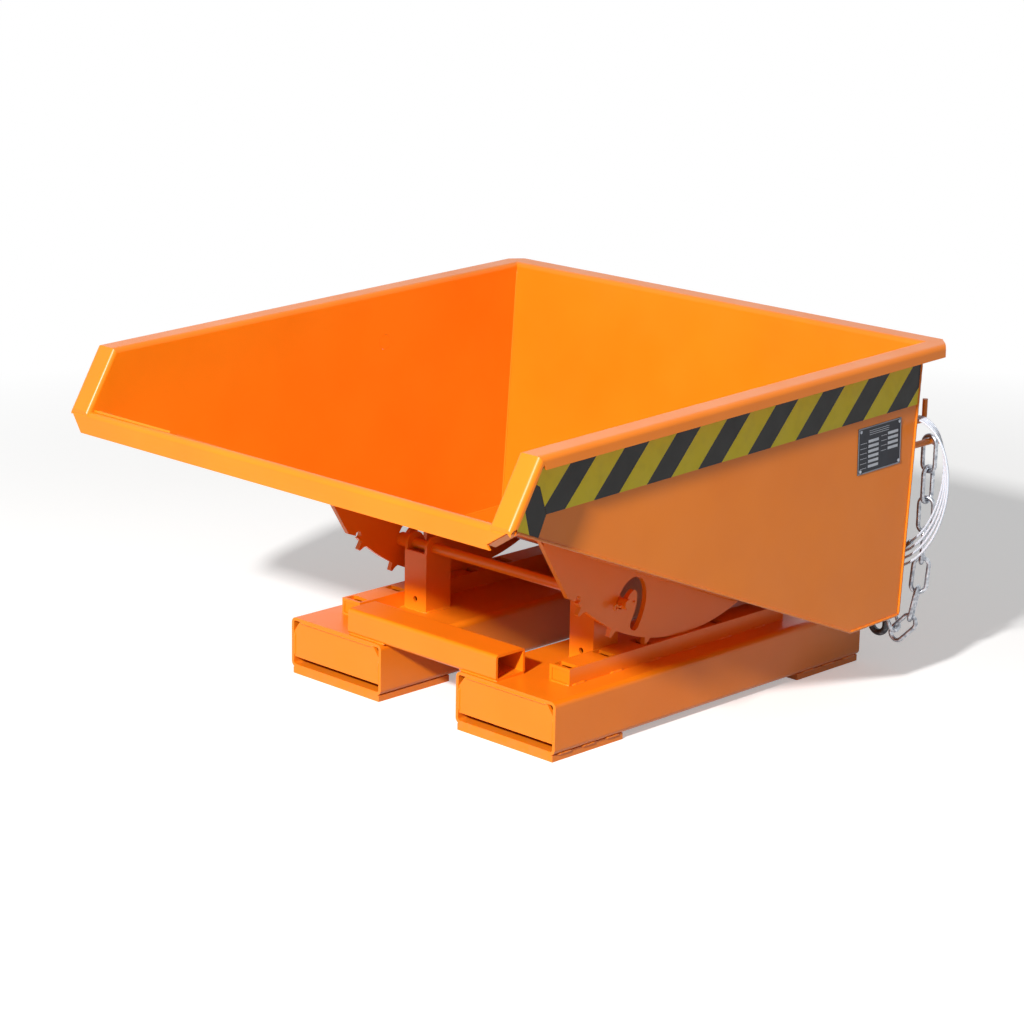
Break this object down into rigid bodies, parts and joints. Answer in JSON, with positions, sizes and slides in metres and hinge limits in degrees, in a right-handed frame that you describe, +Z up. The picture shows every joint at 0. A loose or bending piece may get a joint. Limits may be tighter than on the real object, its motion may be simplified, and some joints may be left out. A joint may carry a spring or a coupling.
{
  "type": "tipping hopper",
  "caption": "Self-tipping hopper for fork trucks: a sheet steel bin on toothed rockers that roll forward along slotted rails on top of a frame with two fork pockets.",
  "frame": {"origin": "on the floor, at the middle of the whole object's length and width", "axes": "+X to the right seen from the pouring lip's side, +Y towards the rear, where the forks go in and the chain hangs, +Z up; the hopper pours towards -Y"},
  "size_m": [0.9368, 0.995, 0.5468],
  "materials": {
    "orange": "semi-gloss orange powder coat",
    "zinc": "galvanised, dull",
    "tape": "yellow film with black slanted stripes",
    "plate": "dark printed film with blank pale fields",
    "rope": "clear sheath over wire rope",
    "black_steel": "forged, dark",
    "red_steel": "red-brown lacquer"
  },
  "bodies": {
    "base": {"fork_pocket_left": "orange", "fork_pocket_right": "orange", "pocket_end_plate_left": "orange", "pocket_end_plate_right": "orange", "front_foot_pads": "orange", "rear_foot_pads": "orange", "front_cross_tube": "orange", "rear_cross_tube": "orange", "rack_rail_left": "orange", "rack_rail_right": "orange", "rail_end_plates": "orange", "post_left": "orange", "post_right": "orange", "guide_rod": "orange", "rod_collars": "orange", "split_pins": "orange", "catch_lugs": "orange", "catch_bar": "orange"},
    "roll_carriage": {"centre_plugs": "orange"},
    "hopper": {"side_wall_left": "orange", "side_wall_right": "orange", "floor_plate": "orange", "rear_wall": "orange", "rim_left": "orange", "rim_right": "orange", "rim_rear": "orange", "front_flange_left": "orange", "front_flange_right": "orange", "lip_flange": "orange", "lip_weld_strip": "orange", "rocker_left": "orange", "rocker_right": "orange", "hazard_tape_left": "tape", "hazard_tape_right": "tape", "hazard_tape_front_left": "tape", "hazard_tape_front_right": "tape", "rating_plate": "plate", "plate_rivets": "zinc", "latch_bracket": "orange", "latch_pin": "zinc", "rope_hook": "orange", "pull_rope_coil": "rope", "pull_rope_lead": "rope", "rope_ferrules": "zinc", "chain_pegs": "orange", "chain_edge_links": "zinc", "chain_face_links": "zinc", "grab_hook": "black_steel", "hook_pin": "zinc"},
    "latch_lever": {"latch_lever": "orange"},
    "hook_latch": {"hook_latch": "red_steel"}
  },
  "joints": [
    {"name": "roll", "type": "slide", "parent": "base", "child": "roll_carriage", "axis": [0, -1, 0], "range_m": [0, 0.3245]},
    {"name": "tip", "type": "hinge", "parent": "roll_carriage", "child": "hopper", "pos_m": [0, 0.1055, 0.4533], "axis": [1, 0, 0], "range_deg": [0, 55]},
    {"name": "latch_turn", "type": "hinge", "parent": "hopper", "child": "latch_lever", "pos_m": [0, 0.431, 0.215], "axis": [1, 0, 0], "range_deg": [0, 18]},
    {"name": "hook_latch_turn", "type": "hinge", "parent": "hopper", "child": "hook_latch", "pos_m": [0.30595, 0.48293, 0.09042], "axis": [0, 1, 0], "range_deg": [0, 30], "stiffness_Nm_per_rad": 0.02, "springref_deg": -11.46}
  ],
  "couplings": [
    {"joint": "roll", "follows": "tip", "m_per_rad": 0.338}
  ]
}
